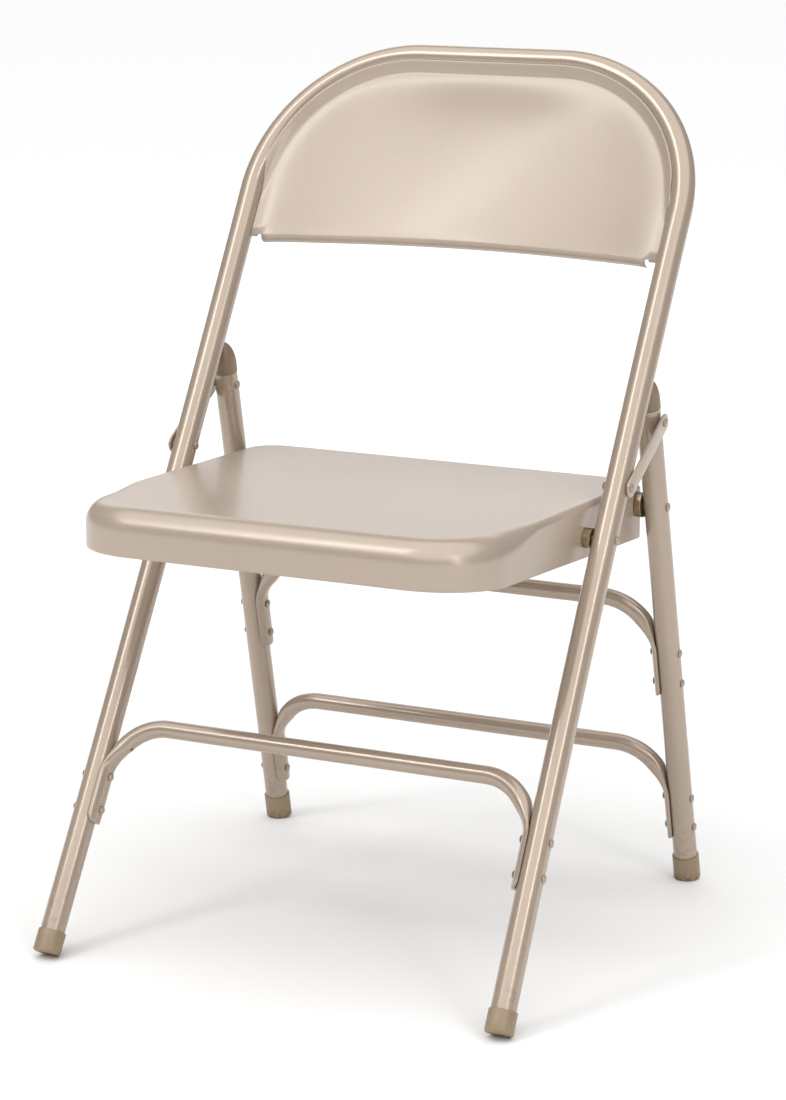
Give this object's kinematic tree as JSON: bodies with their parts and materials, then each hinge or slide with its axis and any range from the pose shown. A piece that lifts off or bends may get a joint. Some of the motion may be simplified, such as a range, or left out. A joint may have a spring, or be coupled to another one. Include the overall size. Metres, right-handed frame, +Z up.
{
  "type": "folding chair",
  "caption": "All-steel folding chair: a bent tube frame with a sheet backrest, a stamped seat pan, straight rear legs, cross braces and side links that fold it flat.",
  "frame": {"origin": "centre of the bounding box of the open chair, on the floor", "axes": "+Z up, -Y the way a sitter faces, +X to the sitter's left"},
  "size_m": [0.4658, 0.4978, 0.7758],
  "materials": {
    "frame_paint": "semi-gloss beige enamel",
    "panel_paint": "semi-gloss beige enamel on sheet",
    "rivet_paint": "beige enamel over rivet heads",
    "spacer_steel": "yellow zinc plated",
    "foot_vinyl": "smooth tan vinyl",
    "cap_plastic": "moulded tan plastic"
  },
  "bodies": {
    "front_frame": {"front_frame": "frame_paint", "backrest_panel": "panel_paint", "front_brace": "frame_paint", "front_brace_rivet_upper_left": "rivet_paint", "front_brace_rivet_upper_right": "rivet_paint", "front_brace_rivet_lower_left": "rivet_paint", "front_brace_rivet_lower_right": "rivet_paint", "front_foot_left": "foot_vinyl", "front_foot_right": "foot_vinyl", "link_front_rivet_left": "rivet_paint", "link_front_rivet_right": "rivet_paint", "seat_pivot_rivet_left": "rivet_paint", "seat_pivot_rivet_right": "rivet_paint", "seat_pivot_spacer_left": "spacer_steel", "seat_pivot_spacer_right": "spacer_steel"},
    "seat": {"seat_pan": "panel_paint"},
    "rear_legs": {"rear_leg_left": "frame_paint", "rear_leg_right": "frame_paint", "rear_leg_cap_left": "cap_plastic", "rear_leg_cap_right": "cap_plastic", "rear_foot_left": "foot_vinyl", "rear_foot_right": "foot_vinyl", "rear_upper_brace": "frame_paint", "rear_lower_brace": "frame_paint", "rear_upper_brace_rivet_upper_left": "rivet_paint", "rear_upper_brace_rivet_upper_right": "rivet_paint", "rear_upper_brace_rivet_lower_left": "rivet_paint", "rear_upper_brace_rivet_lower_right": "rivet_paint", "rear_lower_brace_rivet_upper_left": "rivet_paint", "rear_lower_brace_rivet_upper_right": "rivet_paint", "rear_lower_brace_rivet_lower_left": "rivet_paint", "rear_lower_brace_rivet_lower_right": "rivet_paint", "link_rear_rivet_left": "rivet_paint", "link_rear_rivet_right": "rivet_paint", "seat_rear_rivet_left": "rivet_paint", "seat_rear_rivet_right": "rivet_paint", "seat_rear_spacer_left": "spacer_steel", "seat_rear_spacer_right": "spacer_steel"},
    "link_left": {"hinge_link_left": "frame_paint", "link_rear_rivet_head_left": "rivet_paint"},
    "link_right": {"hinge_link_right": "frame_paint", "link_rear_rivet_head_right": "rivet_paint"}
  },
  "joints": [
    {"name": "seat_fold", "type": "hinge", "parent": "front_frame", "child": "seat", "pos_m": [0, -0.00542, 0.377], "axis": [-1, 0, 0], "range_deg": [0, 112.46]},
    {"name": "rear_leg_fold", "type": "hinge", "parent": "seat", "child": "rear_legs", "pos_m": [0, 0.1185, 0.38133], "axis": [-1, 0, 0], "range_deg": [-67.48, 0]},
    {"name": "link_left_swing", "type": "hinge", "parent": "front_frame", "child": "link_left", "pos_m": [0, 0.02069, 0.41863], "axis": [-1, 0, 0], "range_deg": [0, 135.21]},
    {"name": "link_right_swing", "type": "hinge", "parent": "front_frame", "child": "link_right", "pos_m": [0, 0.02069, 0.41863], "axis": [-1, 0, 0], "range_deg": [0, 135.21]}
  ],
  "couplings": [
    {"joint": "rear_leg_fold", "follows": "seat_fold", "ratio": -0.59989},
    {"joint": "link_left_swing", "follows": "seat_fold", "ratio": 1.2021},
    {"joint": "link_right_swing", "follows": "seat_fold", "ratio": 1.2021}
  ]
}
